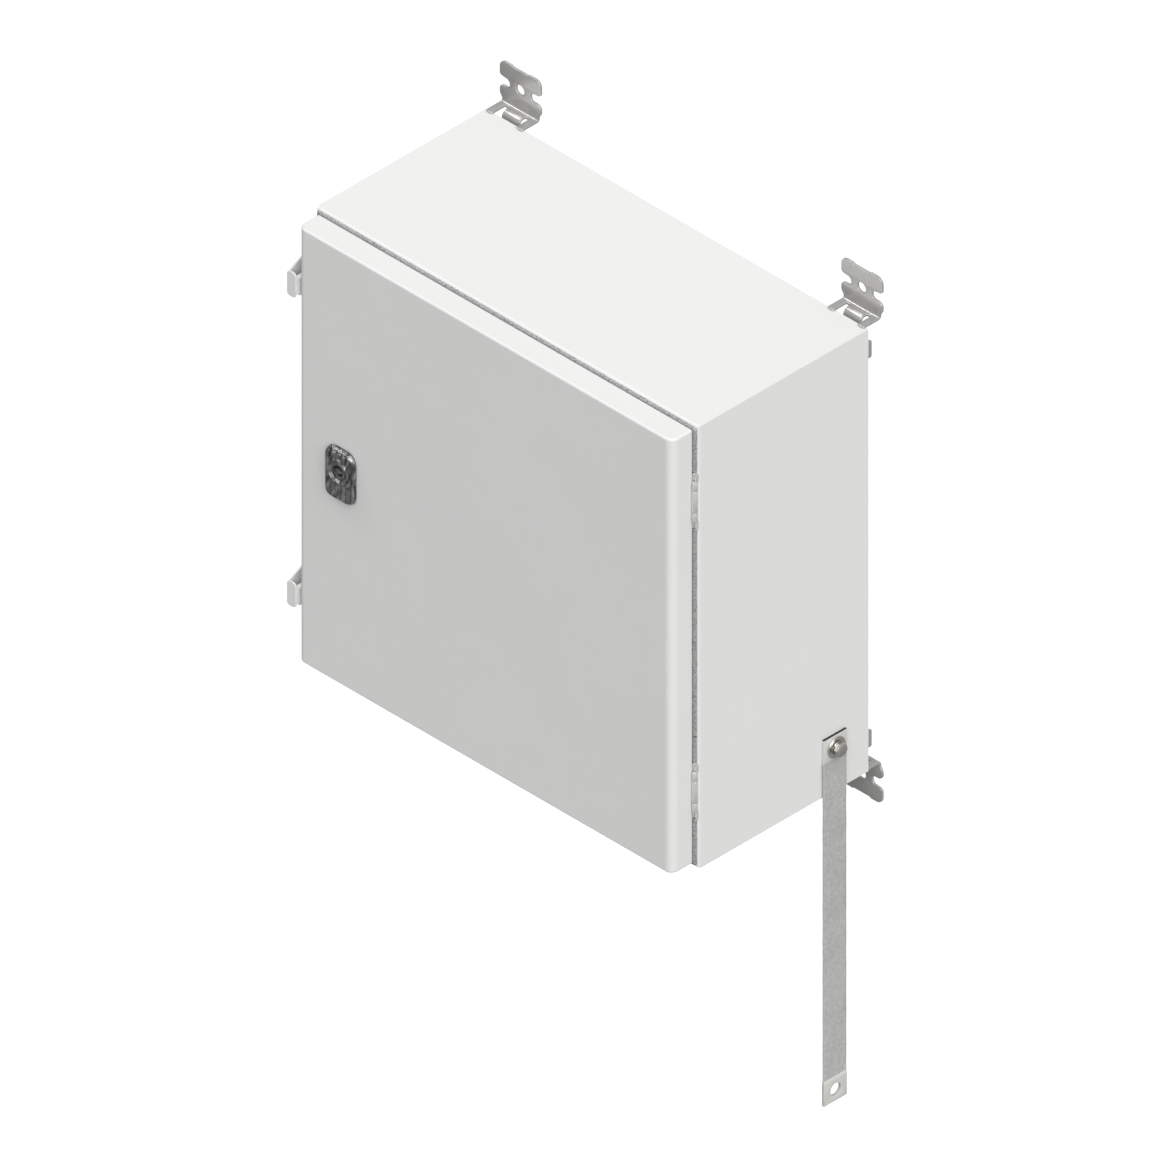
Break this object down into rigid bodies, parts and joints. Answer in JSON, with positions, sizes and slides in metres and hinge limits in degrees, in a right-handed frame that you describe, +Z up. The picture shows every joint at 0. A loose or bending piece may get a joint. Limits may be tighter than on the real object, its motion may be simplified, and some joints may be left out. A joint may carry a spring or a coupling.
{
  "type": "wall-mounted control cabinet",
  "caption": "Shallow square sheet-steel wall cabinet with a side-hinged door, quarter-turn lock, wall brackets and a flat earth strap.",
  "frame": {"origin": "middle of the four wall holes, in the plane of the wall behind the brackets", "axes": "+Y into the wall, +Z up, +X to the right seen from the front; the cabinet lies at negative Y"},
  "size_m": [0.4167, 0.2246, 0.7164],
  "materials": {
    "powder_coat": "fine-textured powder coat",
    "zinc_sheet": "zinc plated sheet",
    "plated_fasteners": "zinc plated, turned and rolled",
    "galvanised_plate": "galvanised, spangled",
    "knitted_wire": "knitted metal mesh over foam",
    "foam_rubber": "foamed in place",
    "black_rubber": "matt",
    "zinc_die_cast": "bright die cast",
    "tinned_braid": "tinned copper braid",
    "tinned_end": "pressed and tinned"
  },
  "bodies": {
    "cabinet": {"body_earth_nut": "plated_fasteners", "body_earth_stud": "plated_fasteners", "body_wrap": "powder_coat", "bracket_bolts": "plated_fasteners", "bracket_nuts": "plated_fasteners", "bracket_seal_washers": "black_rubber", "earth_bolt": "plated_fasteners", "earth_inner_washer": "plated_fasteners", "earth_nut": "plated_fasteners", "earth_spring_washer": "plated_fasteners", "earth_washer": "plated_fasteners", "entry_gasket": "black_rubber", "entry_plate": "powder_coat", "entry_screws": "plated_fasteners", "front_rim": "powder_coat", "hinge_frame_leaf_lower": "zinc_sheet", "hinge_frame_leaf_upper": "zinc_sheet", "hinge_pin_lower": "zinc_sheet", "hinge_pin_upper": "zinc_sheet", "hinge_rivets": "zinc_sheet", "mounting_plate": "galvanised_plate", "plate_nuts": "plated_fasteners", "plate_studs": "plated_fasteners", "plate_washers": "plated_fasteners", "rear_panel": "powder_coat", "rim_gasket": "knitted_wire", "strap_braid": "tinned_braid", "strap_end_lower": "tinned_end", "strap_end_upper": "tinned_end", "wall_bracket_bottom_left": "zinc_sheet", "wall_bracket_bottom_right": "zinc_sheet", "wall_bracket_top_left": "zinc_sheet", "wall_bracket_top_right": "zinc_sheet"},
    "door": {"door_earth_nut": "plated_fasteners", "door_earth_stud": "plated_fasteners", "door_panel": "powder_coat", "door_seal": "foam_rubber", "hinge_door_leaf_lower": "zinc_sheet", "hinge_door_leaf_upper": "zinc_sheet", "lock_housing": "zinc_die_cast", "lock_nut": "plated_fasteners", "lock_seal": "black_rubber", "side_guide_lower": "powder_coat", "side_guide_upper": "powder_coat"},
    "lock_insert": {"lock_barrel": "zinc_die_cast", "lock_cam": "plated_fasteners", "cam_washer": "plated_fasteners", "cam_screw": "plated_fasteners"}
  },
  "joints": [
    {"name": "door_hinge", "type": "hinge", "parent": "cabinet", "child": "door", "pos_m": [0.1979, -0.1957, 0], "axis": [0, 0, 1], "range_deg": [0, 120]},
    {"name": "lock_turn", "type": "hinge", "parent": "door", "child": "lock_insert", "pos_m": [-0.1486, -0.1936, 0], "axis": [0, 1, 0], "range_deg": [0, 90]}
  ]
}
